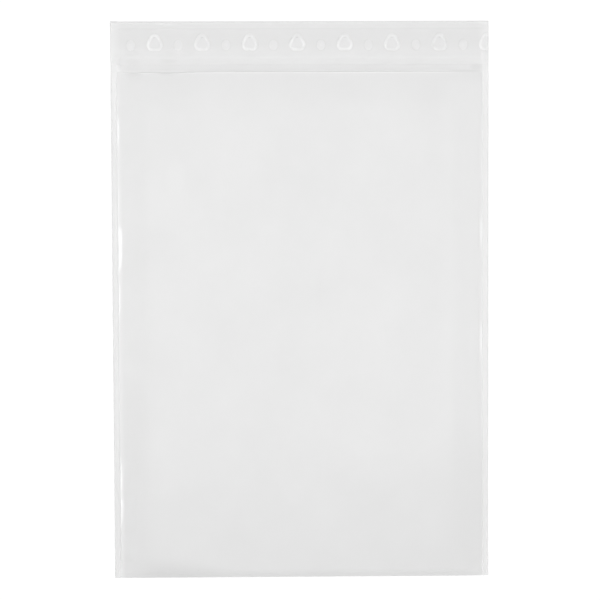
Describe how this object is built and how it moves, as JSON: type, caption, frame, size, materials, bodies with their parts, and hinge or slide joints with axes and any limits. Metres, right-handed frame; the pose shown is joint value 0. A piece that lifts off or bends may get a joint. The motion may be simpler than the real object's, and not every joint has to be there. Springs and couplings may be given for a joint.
{
  "type": "poly mailer bag",
  "caption": "Clear film mailer bag lying on its back, empty, with an open pocket, welded sides, a bottom fold and a flap with an adhesive strip under a release liner.",
  "frame": {"origin": "middle of the bag's back, on the surface that it lies on", "axes": "+X to the right across the bag as the front is seen, +Y from the bottom fold to the end of the flap, +Z out of the front"},
  "size_m": [0.24, 0.355, 0.0074],
  "materials": {
    "clear_film": "gloss",
    "hot_melt_adhesive": "satin",
    "liner_film": "satin"
  },
  "bodies": {
    "root": {"film_bag": "clear_film", "adhesive_strip": "hot_melt_adhesive", "release_liner": "liner_film"}
  },
  "joints": []
}
